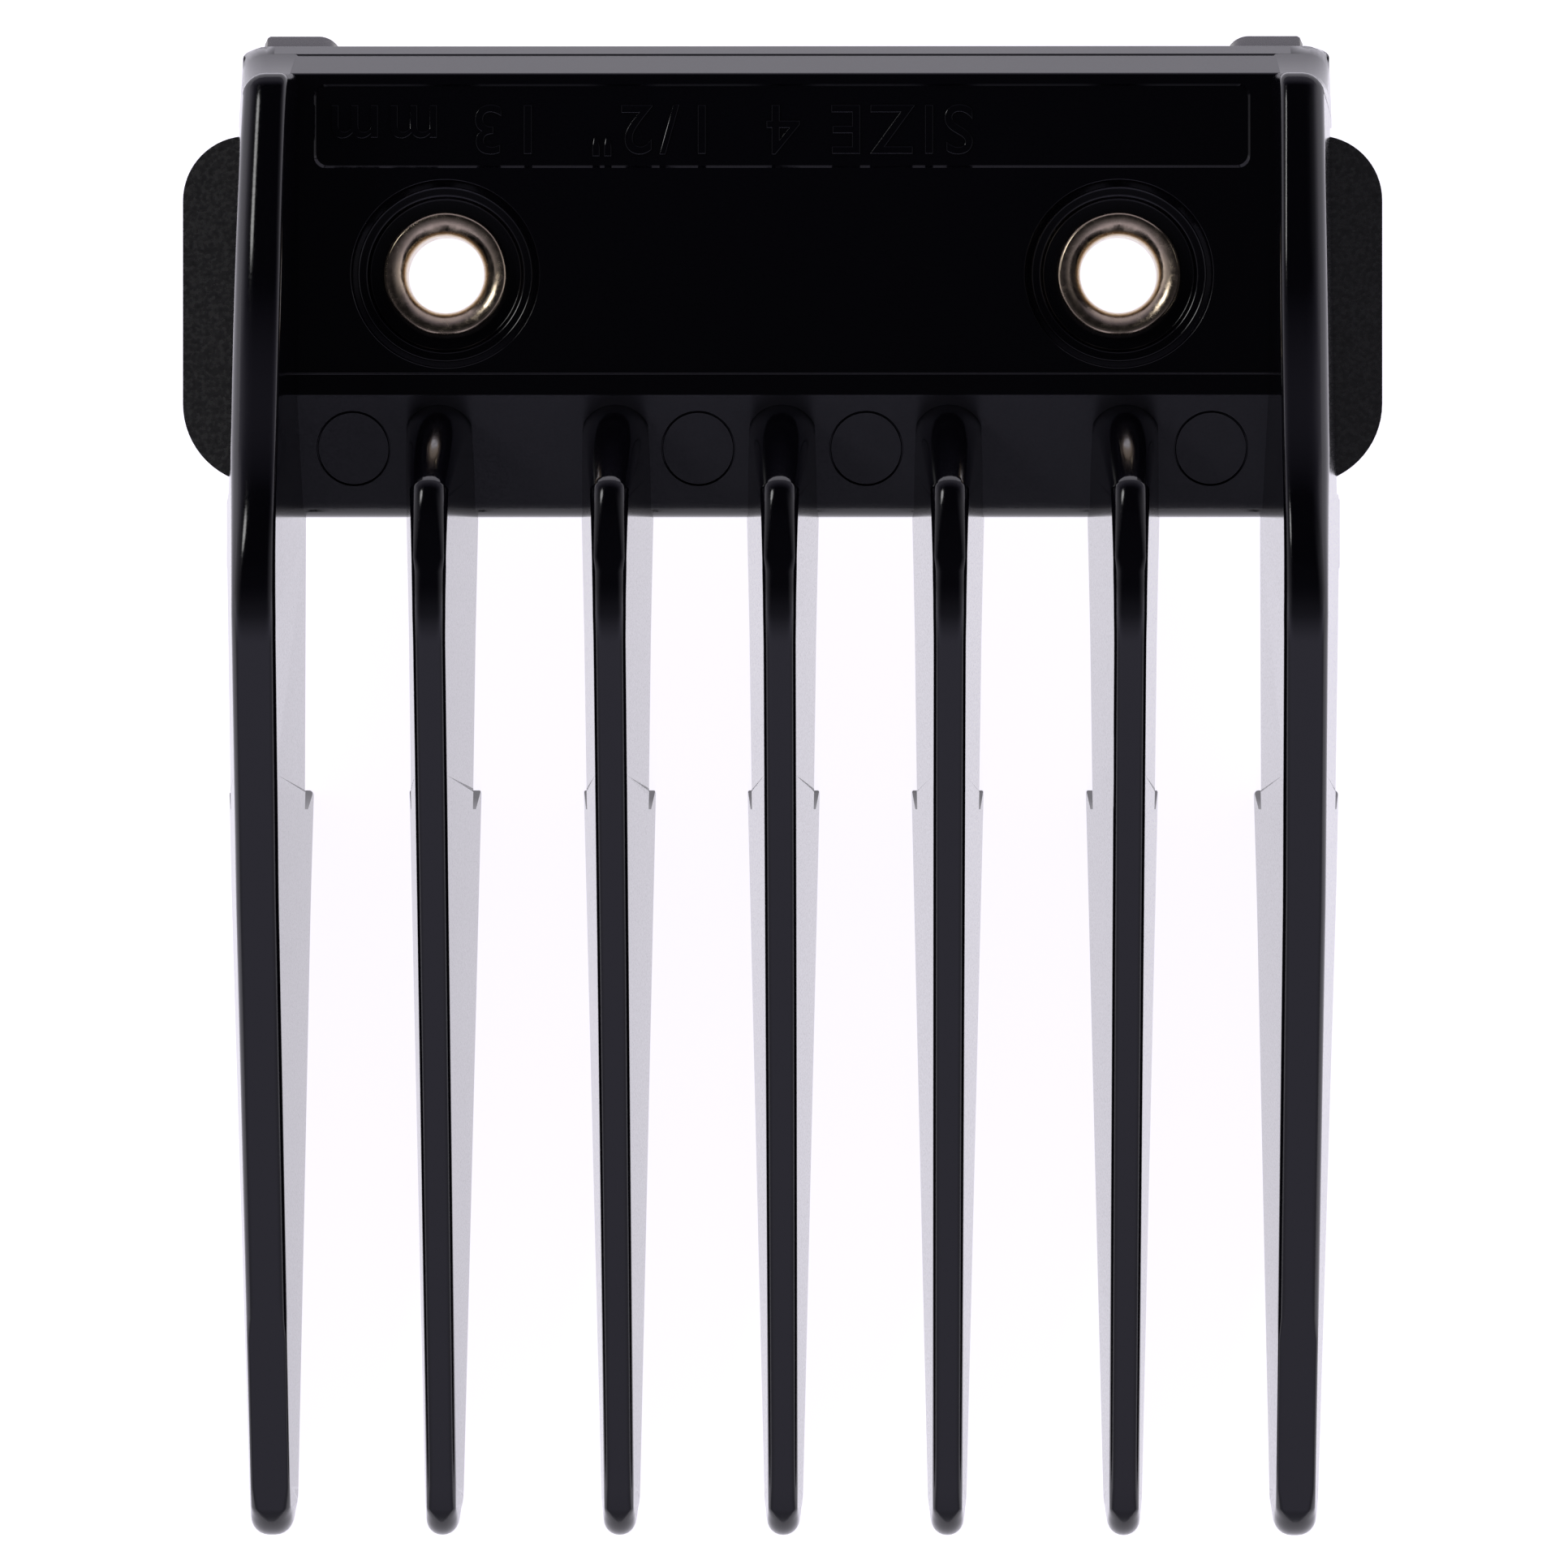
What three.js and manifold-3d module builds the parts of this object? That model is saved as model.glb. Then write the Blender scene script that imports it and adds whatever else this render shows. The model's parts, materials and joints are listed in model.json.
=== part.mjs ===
// Clip-on guard comb for a hair clipper: a moulded nylon comb held to the blade by a
// riveted spring-steel clip. Millimetres, +Z towards the skin, teeth pointing along -Y.
// Heights below are measured from the blade plane, the face that the clipper blade lies
// against. The finished group is lifted so that its lowest points stand on z = 0.
import * as THREE from 'three';
import { mergeVertices } from 'three/addons/utils/BufferGeometryUtils.js';
import Module from 'manifold-3d';

const wasm = await Module();
wasm.setup();

// ---- Driving dimensions ----
const CUT_LENGTH = 12.7; // ridge height over the cutting edge, the guard's half-inch size
const NOTCH_Y = -1.1; // the blade's cutting edge, against the upright toe stops
const TIP_Y = -32.8;
const FOOT_Z = -4.2; // underside of the teeth
const BELLY_Z = 16.2; // highest part of the ridges
const BELLY_START = 8.4; // the belly is level behind this and eases into the ridge's slope
const RIDGE_DEG = 23.1; // slope of the straight front part of every ridge
const RIDGE_RISE = Math.tan(THREE.MathUtils.degToRad(RIDGE_DEG));
const NOSE = [[16.36, 4.65], [15.75, 8.65], [14.7, 12.3], [13.35, 15.35]]; // curve up from the rim
const NOSE_CORNER = [[13.35, 15.35], [12.98, BELLY_Z], [11.95, BELLY_Z]]; // and over to the belly

const FIN_X = [-14.81, -7.19, 0, 7.19, 14.81];
const FIN_LEAN = [-0.07, 0.05, 0, -0.03, 0.04]; // how far each thin tip stands off its line
const FIN_RIDGE = 1.34; // width of a fin's ridge, less at the tip
const FIN_RIDGE_TIP = 1.26;
const FIN_SWELL = 0.15; // each side of a fin thickens by this much towards its nose
const FIN_DRAFT = [0.0535, 0.049]; // how much a flank leans out, in front and at the rear

const WALL_INNER = 21.3; // inner and outer edge of a side wall's ridge
const WALL_OUTER = 23.13;
const WALL_SPLAY = 0.1; // the walls stand slightly outwards in front
const WALL_TAPER_TIP = [0.06, 0.08]; // the ridge's inner and outer edge draw in at the tip
const WALL_DRAFT_IN = [0.046, 0.035];
const WALL_DRAFT_OUT = 0.066;
const WALL_BEND = [0.0014, 0]; // the left wall curves inwards at the rear
const WALL_ROUND = 0.4;
const CORNER_ROUND = 1; // outer rear corner of the walls
const RAIL_FALL = 0.345; // average slope of the rails behind the belly

const RIDGE_ROUND = 0.15; // small radius along the ridge edges
const FOOT_ROUND = 0.08;
const RIDGE_FLAT_FROM = 7; // a fin's back is fully round behind 14 and flat in front of 7
const NOSE_ROUND_FROM = 14;
const TIP_ROUND_FROM = -31.2;

const TOE_Y = -0.28; // how far the sloping toe reaches back under the blade's teeth
const TOE_Z = -3.8; // height of the toe's rear edge
const STOP_DEPTH = 1.5; // upright height of the toe stop

const PANEL_Z = 4.6;
const RIM_Z = 4.9;
const REAR_FACE = [[32, 0.6], [31.98, 1.85], [31.58, 2.75], [30.64, PANEL_Z]]; // skirt, upwards
const PLATE_HALF = 22; // the plate runs into both side walls
const UNDERSIDE_Z = 2.6; // underside of the plate, where the steel clip lies

const SHEET = 0.5; // steel thickness
const CLIP_Z = 2.05; // underside of the clip's base
const WING_HALF = 25.97;
const WING_Y = [12.95, 28.07];
const WING_RADIUS = [3.5, 2.8]; // front and rear corners
const WING_ROOT = 21.7; // the wings start here, outboard of the rim
const LIP_HALF = 20.3;
const LIP_Y = 30; // middle of the lip's upright leg
const EAR_X = [19.5, 22.7];

const EYELET_X = 14.53;
const EYELET_Y = 22;
const EYELET_BORE = 1.66;
const EYELET_BARREL = 2;
const EYELET_FLANGE = 2.7;
const RIVET_HOLE = 2.25;
const SPOT_FACE = [3.9, 3.4]; // radius at the panel and at the floor
const SPOT_Z = 3.7;
const SEAT_GAP = 0.05;

const NYLON = new THREE.MeshStandardMaterial({ color: 0x0b0b0f, roughness: 0.18, metalness: 0 });
const STEEL = new THREE.MeshStandardMaterial({ color: 0x8c8c86, roughness: 0.4, metalness: 1 });
const NICKEL = new THREE.MeshStandardMaterial({ color: 0xb3aa9a, roughness: 0.25, metalness: 1 });

// ---- Solids ----
function solidOf(geometry) {
  const bare = geometry.index ? geometry.toNonIndexed() : geometry.clone();
  bare.deleteAttribute('normal');
  bare.deleteAttribute('uv');
  const merged = mergeVertices(bare, 1e-4);
  const corners = [...merged.index.array];
  const triangles = [];
  for (let i = 0; i < corners.length; i += 3) {
    const [a, b, c] = corners.slice(i, i + 3);
    if (a !== b && b !== c && c !== a) {
      triangles.push(a, b, c);
    }
  }
  return new wasm.Manifold(new wasm.Mesh({
    numProp: 3,
    vertProperties: new Float32Array(merged.attributes.position.array),
    triVerts: new Uint32Array(triangles),
  }));
}

function geometryOf(solid) {
  const mesh = solid.getMesh();
  const points = [];
  for (let i = 0; i < mesh.numVert; i += 1) {
    points.push(...mesh.vertProperties.slice(i * mesh.numProp, i * mesh.numProp + 3));
  }
  const geometry = new THREE.BufferGeometry();
  geometry.setAttribute('position', new THREE.Float32BufferAttribute(points, 3));
  geometry.setIndex([...mesh.triVerts]);
  geometry.computeVertexNormals();
  return geometry;
}

// A side profile, given as [y, z] points, pulled along X from x0 to x1.
function profileAlongX(points, x0, x1) {
  const shape = new THREE.Shape(points.map(([y, z]) => new THREE.Vector2(y, z)));
  const geometry = new THREE.ExtrudeGeometry(shape, { depth: x1 - x0, bevelEnabled: false });
  const toSide = new THREE.Matrix4().makeBasis(
    new THREE.Vector3(0, 1, 0),
    new THREE.Vector3(0, 0, 1),
    new THREE.Vector3(1, 0, 0),
  );
  geometry.applyMatrix4(toSide);
  geometry.translate(x0, 0, 0);
  return geometry;
}

function boxBetween(low, high) {
  const size = high.map((value, i) => value - low[i]);
  const geometry = new THREE.BoxGeometry(...size);
  geometry.translate(...high.map((value, i) => (value + low[i]) / 2));
  return geometry;
}

// A turned piece about a vertical axis, from [radius, height] points.
function turned(points, segments) {
  const geometry = new THREE.LatheGeometry(points.map((p) => new THREE.Vector2(...p)), segments);
  geometry.rotateX(Math.PI / 2);
  return geometry;
}

function arc(cx, cy, radius, fromDeg, toDeg, steps) {
  return Array.from({ length: steps + 1 }, (_, i) => {
    const angle = THREE.MathUtils.degToRad(fromDeg + ((toDeg - fromDeg) * i) / steps);
    return [cx + radius * Math.cos(angle), cy + radius * Math.sin(angle)];
  });
}

// ---- Teeth ----
// Height of the straight front part of every ridge.
function ridgeLine(y) {
  return CUT_LENGTH + RIDGE_RISE * (y - NOTCH_Y);
}

// Height that a fin's flanks are measured down from.
function flankTop(y) {
  return Math.min(ridgeLine(y), BELLY_Z);
}

// Height that a wall's flanks are measured down from.
function railTop(y) {
  return flankTop(y) - RAIL_FALL * Math.max(0, y - 14);
}

// How far y is along the way from start to end, between 0 and 1.
function share(y, start, end) {
  return THREE.MathUtils.clamp((y - start) / (end - start), 0, 1);
}

// Ridge and belly, from the rear end of the belly's flat forward to the tip and back below.
function frontOutline() {
  const bellyY = NOTCH_Y + (BELLY_Z - CUT_LENGTH) / RIDGE_RISE;
  const easeStart = 2 * bellyY - BELLY_START;
  const belly = new THREE.QuadraticBezierCurve(
    new THREE.Vector2(BELLY_START, BELLY_Z),
    new THREE.Vector2(bellyY, BELLY_Z),
    new THREE.Vector2(easeStart, ridgeLine(easeStart)),
  ).getPoints(4).map((p) => [p.x, p.y]);
  const lean = Math.atan(RIDGE_RISE);
  const lineAtTip = ridgeLine(TIP_Y) - FOOT_Z;
  const radius = (lineAtTip * Math.cos(lean)) / (1 + (1 - RIDGE_RISE) * Math.cos(lean));
  const tip = arc(TIP_Y + radius, FOOT_Z + radius, radius, 90 + RIDGE_DEG, 270, 7);
  return [
    ...belly,
    ...tip,
    [TOE_Y - 0.25, FOOT_Z],
    [TOE_Y, FOOT_Z + 0.25],
    [TOE_Y, 0],
  ];
}

function finOutline() {
  const rise = new THREE.CubicBezierCurve(...NOSE.map((p) => new THREE.Vector2(...p)));
  const corner = new THREE.QuadraticBezierCurve(...NOSE_CORNER.map((p) => new THREE.Vector2(...p)));
  const nose = [...rise.getPoints(5), ...corner.getPoints(4).slice(1)].map((p) => [p.x, p.y]);
  return [[16.6, 3.45], ...nose, ...frontOutline(), [13.7, 0]];
}

function wallOutline() {
  const rail = new THREE.CubicBezierCurve(
    new THREE.Vector2(23, 12),
    new THREE.Vector2(17, 13.2),
    new THREE.Vector2(13.5, BELLY_Z),
    new THREE.Vector2(9, BELLY_Z),
  ).getPoints(7).map((p) => [p.x, p.y]);
  const rearCorner = [[30.32, 10.4], [29.95, 10.72]];
  return [...REAR_FACE, ...rearCorner, ...rail, ...frontOutline(), [11, 0], [28.9, 0]];
}


// A tooth whose flanks lean outwards, with rounded edges along its outline. The left and the
// right side are each a pair of functions of y and z: the flank and its edge radius there.
function tooth(outline, leftSide, rightSide) {
  const steps = [Math.PI / 2, Math.PI / 4, 0];
  const count = outline.length;
  const normals = outline.map((_, i) => {
    const [ay, az] = outline[(i + count - 1) % count];
    const [by, bz] = outline[(i + 1) % count];
    const length = Math.hypot(by - ay, bz - az);
    return [(bz - az) / length, -(by - ay) / length];
  });
  const rings = [];
  for (const [side, [flank, round]] of [[-1, leftSide], [1, rightSide]]) {
    const order = side < 0 ? steps : [...steps].reverse();
    for (const angle of order) {
      rings.push(outline.map(([y, z], i) => {
        const radius = round(y, z);
        const inset = radius * (1 - Math.cos(angle));
        const py = y - normals[i][0] * inset;
        const pz = z - normals[i][1] * inset;
        return [flank(py, pz) - side * radius * (1 - Math.sin(angle)), py, pz];
      }));
    }
  }
  const triangles = [];
  for (let ring = 0; ring + 1 < rings.length; ring += 1) {
    for (let i = 0; i < count; i += 1) {
      const a = ring * count + i;
      const b = ring * count + ((i + 1) % count);
      triangles.push(a, b, b + count, a, b + count, a + count);
    }
  }
  const last = (rings.length - 1) * count;
  for (const [start, ring, flip] of [[0, rings[0], true], [last, rings.at(-1), false]]) {
    const flat = ring.map(([, y, z]) => new THREE.Vector2(y, z));
    for (const [a, b, c] of THREE.ShapeUtils.triangulateShape(flat, [])) {
      triangles.push(start + a, start + (flip ? c : b), start + (flip ? b : c));
    }
  }
  const geometry = new THREE.BufferGeometry();
  geometry.setAttribute('position', new THREE.Float32BufferAttribute(rings.flat(2), 3));
  geometry.setIndex(triangles);
  return geometry;
}

function fin(x, lean) {
  const middle = (y) => x + lean * share(y, BELLY_START, TIP_Y);
  const half = (y) => THREE.MathUtils.lerp(FIN_RIDGE, FIN_RIDGE_TIP, share(y, BELLY_START, TIP_Y)) / 2
    + FIN_SWELL * share(y, 5.8, 13.3) ** 1.5;
  const draft = (y) => THREE.MathUtils.lerp(...FIN_DRAFT, share(y, 1, 5.8));
  const reach = (y, z) => half(y) + draft(y) * (flankTop(y) - z);
  const round = (y, z) => {
    const onNose = THREE.MathUtils.smoothstep(y, RIDGE_FLAT_FROM, NOSE_ROUND_FROM) * (z > 0.1 ? 1 : 0);
    const onTip = 1 - THREE.MathUtils.smoothstep(y, TIP_Y + 0.6, TIP_ROUND_FROM);
    const small = z > 0 || y < NOTCH_Y ? RIDGE_ROUND : FOOT_ROUND;
    return THREE.MathUtils.lerp(small, 0.92 * reach(y, z), Math.max(onNose, onTip));
  };
  const left = (y, z) => middle(y) - reach(y, z);
  const right = (y, z) => middle(y) + reach(y, z);
  return tooth(finOutline(), [left, round], [right, round]);
}

// side is -1 for the left wall and 1 for the right one.
function wall(side) {
  const along = (y) => share(y, BELLY_START, TIP_Y);
  const bend = (y) => WALL_BEND[side < 0 ? 0 : 1] * Math.max(0, y - 17) ** 2;
  const splay = (y) => WALL_SPLAY * share(y, 7, -5) - bend(y);
  const draftIn = (y) => THREE.MathUtils.lerp(...WALL_DRAFT_IN, share(y, 1, 5.8));
  const inner = (y, z) => WALL_INNER + splay(y) + WALL_TAPER_TIP[0] * along(y)
    - draftIn(y) * (railTop(y) - z);
  const outer = (y, z) => WALL_OUTER + splay(y) - WALL_TAPER_TIP[1] * along(y)
    + WALL_DRAFT_OUT * (railTop(y) - z);
  const round = (atRear) => (y, z) => {
    const onTip = 1 - THREE.MathUtils.smoothstep(y, TIP_Y + 0.6, TIP_ROUND_FROM);
    const onRear = THREE.MathUtils.smoothstep(y, 29.6, 30.2) * share(z, 10, 8.5);
    const small = z > 5 ? WALL_ROUND : RIDGE_ROUND;
    return THREE.MathUtils.lerp(THREE.MathUtils.lerp(small, atRear, onRear), 0.7, onTip);
  };
  const rounds = [round(WALL_ROUND), round(CORNER_ROUND)];
  if (side > 0) {
    return tooth(wallOutline(), [inner, rounds[0]], [outer, rounds[1]]);
  }
  const mirrored = [outer, inner].map((flank) => (y, z) => -flank(y, z));
  return tooth(wallOutline(), [mirrored[0], rounds[1]], [mirrored[1], rounds[0]]);
}

// ---- Comb body ----
function platePiece() {
  return profileAlongX([
    ...REAR_FACE,
    [17.74, PANEL_Z],
    [17.66, RIM_Z],
    [16.75, RIM_Z],
    [11.59, 1.4],
    [11.59, 0],
    [13.9, 0],
    [16.5, UNDERSIDE_Z],
    [28.8, UNDERSIDE_Z],
    [28.8, 3.1],
    [30.75, 3.1],
    [30.75, REAR_FACE[0][1]],
  ], -PLATE_HALF, PLATE_HALF);
}

// The low foot under each wall, just proud of its outer face.
function sideFoot(side) {
  const xs = [side * 22.7, side * 24.22].sort((a, b) => a - b);
  return boxBetween([xs[0], 9.4, -0.8], [xs[1], 12.35, 0.4]);
}

// The room for the blade's toe: an upright stop, then a slope that wedges the blade upwards.
function toeNotch() {
  const fall = (-STOP_DEPTH - TOE_Z) / (TOE_Y - NOTCH_Y);
  return profileAlongX([
    [1, 0],
    [NOTCH_Y, 0],
    [NOTCH_Y, -STOP_DEPTH],
    [1, -STOP_DEPTH - fall * (1 - NOTCH_Y)],
  ], -30, 30);
}

function rivetSeat(x) {
  const seat = turned([
    [0, SPOT_Z],
    [SPOT_FACE[1], SPOT_Z],
    [SPOT_FACE[0], PANEL_Z + 0.01],
    [SPOT_FACE[0], PANEL_Z + 1],
    [0, PANEL_Z + 1],
  ], 32);
  const hole = turned([[0, 0], [RIVET_HOLE, 0], [RIVET_HOLE, SPOT_Z + 0.5], [0, SPOT_Z + 0.5]], 32);
  return [seat, hole].map((piece) => piece.translate(x, EYELET_Y, 0));
}

function combBody() {
  const fins = FIN_X.map((x, i) => fin(x, FIN_LEAN[i]));
  const added = [platePiece(), ...fins, wall(-1), wall(1), sideFoot(-1), sideFoot(1)];
  const removed = [
    toeNotch(),
    boxBetween([-30, 12.55, -3], [-WING_ROOT + 0.3, 28.5, UNDERSIDE_Z + 0.25]),
    boxBetween([WING_ROOT - 0.3, 12.55, -3], [30, 28.5, UNDERSIDE_Z + 0.25]),
    boxBetween([-30, 16.6, -3], [-20.2, 28.5, UNDERSIDE_Z]),
    boxBetween([20.2, 16.6, -3], [30, 28.5, UNDERSIDE_Z]),
    boxBetween([-20.2, 26.5, PANEL_Z - 0.15], [20.2, 30.2, PANEL_Z + 1]),
    ...rivetSeat(-EYELET_X),
    ...rivetSeat(EYELET_X),
  ];
  let body = solidOf(added[0]);
  for (const piece of added.slice(1)) {
    body = body.add(solidOf(piece));
  }
  for (const piece of removed) {
    body = body.subtract(solidOf(piece));
  }
  return geometryOf(body);
}

// ---- Spring clip ----
function clipPlate() {
  const [front, rear] = WING_Y;
  const shape = new THREE.Shape();
  const [r, q] = WING_RADIUS;
  shape.moveTo(-WING_ROOT, 17);
  shape.lineTo(-WING_ROOT, front);
  shape.lineTo(-WING_HALF + r, front);
  shape.absarc(-WING_HALF + r, front + r, r, -Math.PI / 2, -Math.PI, true);
  shape.absarc(-WING_HALF + q, rear - q, q, Math.PI, Math.PI / 2, true);
  shape.lineTo(-LIP_HALF, rear);
  shape.lineTo(-LIP_HALF, 29);
  shape.lineTo(LIP_HALF, 29);
  shape.lineTo(LIP_HALF, rear);
  shape.absarc(WING_HALF - q, rear - q, q, Math.PI / 2, 0, true);
  shape.absarc(WING_HALF - r, front + r, r, 0, -Math.PI / 2, true);
  shape.lineTo(WING_ROOT, front);
  shape.lineTo(WING_ROOT, 17);
  shape.closePath();
  for (const x of [-EYELET_X, EYELET_X]) {
    const hole = new THREE.Path();
    hole.absarc(x, EYELET_Y, RIVET_HOLE, 0, Math.PI * 2, false);
    shape.holes.push(hole);
  }
  return new THREE.ExtrudeGeometry(shape, { depth: SHEET, bevelEnabled: false, curveSegments: 10 });
}

// Thickens a sheet's middle line, given as [y, z] points, into a closed profile.
function sheetProfile(middle) {
  const sides = [[], []];
  middle.forEach(([y, z], i) => {
    const [ay, az] = middle[Math.max(i - 1, 0)];
    const [by, bz] = middle[Math.min(i + 1, middle.length - 1)];
    const length = Math.hypot(by - ay, bz - az);
    const ny = (-(bz - az) / length) * (SHEET / 2);
    const nz = ((by - ay) / length) * (SHEET / 2);
    sides[0].push([y + ny, z + nz]);
    sides[1].unshift([y - ny, z - nz]);
  });
  return [...sides[0], ...sides[1]];
}

// The lip bends down behind the blade's heel, bulges under it and flares out to a thumb edge.
function clipLip() {
  const middleZ = CLIP_Z + SHEET / 2;
  const bend = arc(LIP_Y - 0.6, middleZ - 0.6, 0.6, 90, 0, 4);
  const bulge = [[LIP_Y, -1.2], [29.75, -1.8], [29.4, -2.3], [29.45, -2.75], [29.9, -3.05]];
  const flare = [[30.7, -3.1], [31.5, -3.25]];
  const ear = [...bulge.slice(-1), ...flare, [32.67, -3.92]];
  const strip = sheetProfile([...bend, ...bulge, ...flare]);
  let lip = solidOf(profileAlongX(strip, -LIP_HALF, LIP_HALF));
  for (const side of [-1, 1]) {
    const [x0, x1] = EAR_X.map((x) => side * x).sort((a, b) => a - b);
    lip = lip.add(solidOf(profileAlongX(sheetProfile(ear), x0, x1)));
  }
  return geometryOf(lip);
}

// ---- Eyelets ----
function eyelet() {
  const rollRadius = (EYELET_FLANGE - EYELET_BORE) / 2;
  const rollAt = EYELET_BORE + rollRadius;
  const profile = [
    ...arc(rollAt, CLIP_Z - 0.32, rollRadius, 180, 360, 6),
    [EYELET_FLANGE, CLIP_Z - SEAT_GAP],
    [EYELET_BARREL, CLIP_Z - SEAT_GAP],
    [EYELET_BARREL, SPOT_Z + SEAT_GAP],
    [EYELET_FLANGE, SPOT_Z + SEAT_GAP],
    ...arc(rollAt, SPOT_Z + 0.32, rollRadius, 0, 180, 6),
  ];
  return turned([...profile, profile[0]], 24);
}

// ---- Assembly ----
function part(name, geometry, material) {
  const mesh = new THREE.Mesh(geometry, material);
  mesh.name = name;
  return mesh;
}

const comb = new THREE.Group();
comb.position.z = -FOOT_Z;
comb.add(part('comb_body', combBody(), NYLON));

const plate = part('clip_plate', clipPlate(), STEEL);
plate.position.z = CLIP_Z;
comb.add(plate);
comb.add(part('clip_lip', clipLip(), STEEL));

for (const [name, x] of [['eyelet_left', -EYELET_X], ['eyelet_right', EYELET_X]]) {
  const piece = part(name, eyelet(), NICKEL);
  piece.position.set(x, EYELET_Y, 0);
  comb.add(piece);
}

export default comb;
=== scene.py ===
"""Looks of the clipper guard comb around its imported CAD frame.

Lengths are millimetres while a shape is worked out, and heights are measured from the
blade plane, as in the CAD. new_piece() turns them into metres in the row frame.
"""

import json
import math

import bmesh
import bpy
from mathutils import Matrix, Vector


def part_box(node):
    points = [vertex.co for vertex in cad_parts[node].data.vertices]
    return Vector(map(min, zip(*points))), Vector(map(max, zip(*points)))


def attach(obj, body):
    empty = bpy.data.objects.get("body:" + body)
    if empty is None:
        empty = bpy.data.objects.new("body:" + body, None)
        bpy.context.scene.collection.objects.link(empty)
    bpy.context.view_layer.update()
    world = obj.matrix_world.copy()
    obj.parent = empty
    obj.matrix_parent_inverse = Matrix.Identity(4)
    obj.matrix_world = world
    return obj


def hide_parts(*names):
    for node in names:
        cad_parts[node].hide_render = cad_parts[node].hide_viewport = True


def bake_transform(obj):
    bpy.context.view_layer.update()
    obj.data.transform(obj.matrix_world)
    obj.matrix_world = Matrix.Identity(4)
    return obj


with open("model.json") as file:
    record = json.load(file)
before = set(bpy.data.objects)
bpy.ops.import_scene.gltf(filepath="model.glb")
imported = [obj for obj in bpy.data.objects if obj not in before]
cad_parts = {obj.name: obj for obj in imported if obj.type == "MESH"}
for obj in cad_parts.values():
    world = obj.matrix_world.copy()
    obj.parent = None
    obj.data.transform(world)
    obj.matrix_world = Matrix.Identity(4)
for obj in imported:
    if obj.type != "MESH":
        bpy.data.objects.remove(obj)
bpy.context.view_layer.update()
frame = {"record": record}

MM = 0.001
MOUNTS = {m["name"]: Vector(m["pos_m"]) / MM for m in frame["record"]["mounts"]}
LIFT = MOUNTS["blade_seat"].z  # height of the blade plane in the row frame
LOW, HIGH = (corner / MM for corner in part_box("comb_body"))

# ---- Driving dimensions: the CAD's, with softer noses, edges and eyelets ----
CUT_LENGTH = 12.7
NOTCH_Y = MOUNTS["toe_stop"].y
TIP_Y = LOW.y
FOOT_Z = -LIFT
BELLY_Z = HIGH.z - LIFT
RIDGE_DEG = 23.1
RIDGE_RISE = math.tan(math.radians(RIDGE_DEG))
BELLY_START = 8.4
BELLY_Y = NOTCH_Y + (BELLY_Z - CUT_LENGTH) / RIDGE_RISE

NOSE = ((16.36, 4.65), (15.75, 8.65), (14.65, 12.3), (12.85, 15.92))
NOSE_CORNER = ((12.85, 15.92), (12.55, BELLY_Z), (11.3, BELLY_Z))
NOSE_ROUND_FROM = 14
RIDGE_FLAT_FROM = 7
TIP_ROUND_FROM = -31.2
RIDGE_ROUND = 0.4
FOOT_ROUND = 0.08

FIN_X = (-14.81, -7.19, 0, 7.19, 14.81)
FIN_LEAN = (-0.07, 0.05, 0, -0.03, 0.04)
FIN_RIDGE = 1.34
FIN_RIDGE_TIP = 1.26
FIN_SWELL = 0.15
FIN_DRAFT = (0.0535, 0.049)

WALL_INNER = 21.3
WALL_OUTER = 23.13
WALL_SPLAY = 0.1
WALL_TAPER_TIP = (0.06, 0.08)
WALL_DRAFT_IN = (0.046, 0.035)
WALL_DRAFT_OUT = 0.066
WALL_BEND = (0.0014, 0)
RAIL_FALL = 0.345

TOE_Y = -0.28
TOE_Z = -3.8
STOP_DEPTH = 1.5
PANEL_Z = 4.6
RIM_Z = 4.9
RIM_FRONT = (11.59, 1.4)
REAR_FACE = ((32, 0.6), (31.98, 1.85), (31.58, 2.75), (30.64, PANEL_Z))
UNDERSIDE_Z = 2.6
PLATE_HALF = 22

SHEET = 0.5
CLIP_Z = 2.05
WING_HALF = 25.96
WING_Y = (12.96, 28.06)
WING_RADIUS = (3.5, 2.8)
WING_ROOT = 21.7
LIP_HALF = 20.3
LIP_Y = 30
EAR_X = (19.35, 22.72)

EYELET_X = 14.53
EYELET_Y = 22
EYELET_BORE = 1.66
EYELET_FLANGE = 2.69
RIVET_HOLE = 2.25
SPOT_Z = 3.7

NOSE_ROOT = (16.6, 3.45)
FIN_ROOT_Y = (4, 13.7)
WALL_FOOT_Y = (11, 28.9)
REAR_CORNER = ((30.35, 10.1), (30.33, 10.6), (29.8, 10.75))
RAIL_RISE = ((23, 12), (17, 13.2), (13.5, BELLY_Z), (9, BELLY_Z))
FOOT_Y = (9.4, 12.4)

EJECTOR_X = (-18.53, -3.63, 3.63, 18.53)
EJECTOR_Y = 14.5
EJECTOR_RADIUS = 1.6
MARKS = (("13 mm", -14.9), ('1/2"', -5.5), ("SIZE 4", 3.8))
MARK_Y = 28.35
MARK_HEIGHT = 2.15

CAMERA_X = 4.78
CAMERA_Z = 540.1
CAMERA_AIM_X = 0.19
CAMERA_DROP = 520
FLOOR_GAP = 0.02


# ---- Small geometry helpers ----
def smooth_step(start, end, value):
    t = min(max((value - start) / (end - start), 0), 1)
    return t * t * (3 - 2 * t)


def mix(a, b, t):
    return a + (b - a) * t


def arc(cx, cy, radius, from_deg, to_deg, steps):
    angles = [math.radians(mix(from_deg, to_deg, i / steps)) for i in range(steps + 1)]
    return [(cx + radius * math.cos(a), cy + radius * math.sin(a)) for a in angles]


def bezier(points, steps):
    """Points along a Bezier curve of any degree."""
    made = []
    for i in range(steps + 1):
        row = [Vector(p) for p in points]
        while len(row) > 1:
            row = [a.lerp(b, i / steps) for a, b in zip(row, row[1:])]
        made.append(tuple(row[0]))
    return made


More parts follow.
